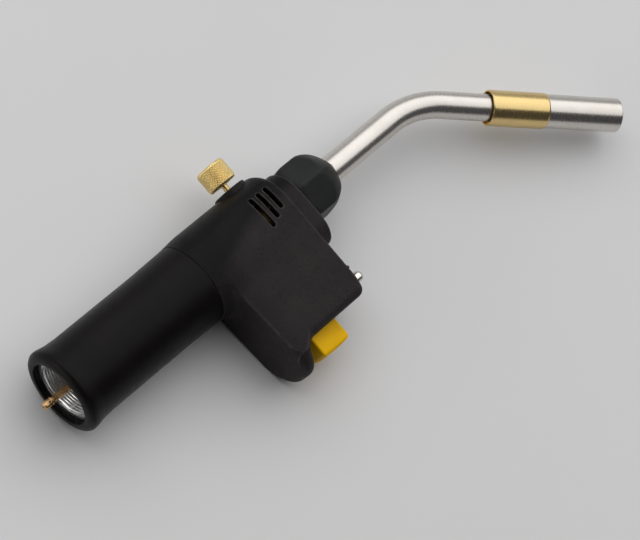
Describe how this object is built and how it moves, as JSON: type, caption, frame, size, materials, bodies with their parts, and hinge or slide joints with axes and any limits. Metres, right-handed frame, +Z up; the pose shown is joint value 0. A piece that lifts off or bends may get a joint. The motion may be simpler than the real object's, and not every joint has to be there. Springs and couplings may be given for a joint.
{
  "type": "propane torch",
  "caption": "Trigger-start hand torch head lying on its side: round handle with cylinder connector, block with trigger and lock, knurled flame knob, bent burn tube and burner.",
  "frame": {"origin": "centre of the handle's open end, on the axis of the cylinder connector", "axes": "+Y along the handle from the cylinder connector to the burner; the torch lies on its left side, leaned 4.5 degrees about Y until the block touches the surface, so +Z is up off the surface and the trigger and flame point towards +X"},
  "size_m": [0.106, 0.3125, 0.0404],
  "materials": {
    "black_plastic": "lightly textured moulding",
    "grip_plastic": "fine leather-like texture",
    "black_nut": "semi-matt moulded",
    "yellow_plastic": "glossy moulded",
    "steel": "satin",
    "brass": "turned",
    "nickel": "nickel plated",
    "zinc": "die cast, turned",
    "rubber": "matt",
    "ceramic": "glazed ceramic",
    "copper": "drawn copper tube",
    "white_plastic": "moulded nylon",
    "lead_jacket": "silicone jacket"
  },
  "bodies": {
    "root": {"housing_right": "black_plastic", "housing_left": "black_plastic", "housing_screws": "steel", "grip_sleeve": "grip_plastic", "cylinder_connector": "zinc", "connector_seal": "rubber", "inlet_probe": "brass", "inlet_filter": "brass", "regulator_body": "zinc", "regulator_poppet": "brass", "regulator_diaphragm": "rubber", "regulator_cap": "zinc", "regulator_spring": "steel", "supply_tube": "copper", "supply_o_rings": "rubber", "valve_block": "brass", "valve_seat": "rubber", "poppet_spring": "steel", "lever_pin": "steel", "packing_gland": "brass", "knob_bezel": "black_plastic", "gas_jet": "brass", "air_cage": "zinc", "tube_collar": "brass", "tube_olive": "brass", "tube_nut": "black_nut", "burn_tube": "steel", "ferrule": "brass", "burner_tube": "steel", "flame_swirler": "brass", "electrode_insulator": "ceramic", "electrode": "steel", "ignition_lead": "lead_jacket", "piezo_case": "white_plastic", "trigger_spring": "steel", "lock_spring": "steel", "lock_guide": "steel"},
    "trigger": {"trigger_button": "yellow_plastic", "piezo_plunger": "black_plastic"},
    "lever": {"valve_lever": "steel"},
    "poppet": {"valve_poppet": "brass"},
    "stem_seal": {"stem_o_ring": "rubber"},
    "knob": {"needle_stem": "brass", "adjust_knob": "brass"},
    "lock": {"lock_button": "nickel"}
  },
  "joints": [
    {"name": "trigger_press", "type": "slide", "parent": "root", "child": "trigger", "axis": [-0.9969, 0, 0.0785], "range_m": [0, 0.006], "stiffness_N_per_m": 800, "springref_m": -0.003, "deforming": ["trigger_spring"]},
    {"name": "lever_swing", "type": "hinge", "parent": "root", "child": "lever", "pos_m": [0.0339, 0.09, -0.00267], "axis": [0.0785, 0, 0.9969], "range_deg": [0, 28.7]},
    {"name": "poppet_lift", "type": "slide", "parent": "root", "child": "poppet", "axis": [-0.9969, 0, 0.0785], "range_m": [0, 0.00201], "deforming": ["poppet_spring"]},
    {"name": "stem_travel", "type": "slide", "parent": "root", "child": "stem_seal", "axis": [-0.9969, 0, 0.0785], "range_m": [0, 0.00105]},
    {"name": "knob_turn", "type": "hinge", "parent": "stem_seal", "child": "knob", "pos_m": [-0.02941, 0.12, 0.00231], "axis": [-0.9969, 0, 0.0785], "range_deg": [0, 540]},
    {"name": "lock_press", "type": "slide", "parent": "root", "child": "lock", "axis": [0, -1, 0], "range_m": [0, 0.002], "stiffness_N_per_m": 400, "springref_m": -0.002, "deforming": ["lock_spring"]}
  ],
  "couplings": [
    {"joint": "lever_swing", "follows": "trigger_press", "rad_per_m": 83.333},
    {"joint": "poppet_lift", "follows": "trigger_press", "ratio": 0.33333},
    {"joint": "knob_turn", "follows": "stem_travel", "rad_per_m": 8975.9}
  ]
}
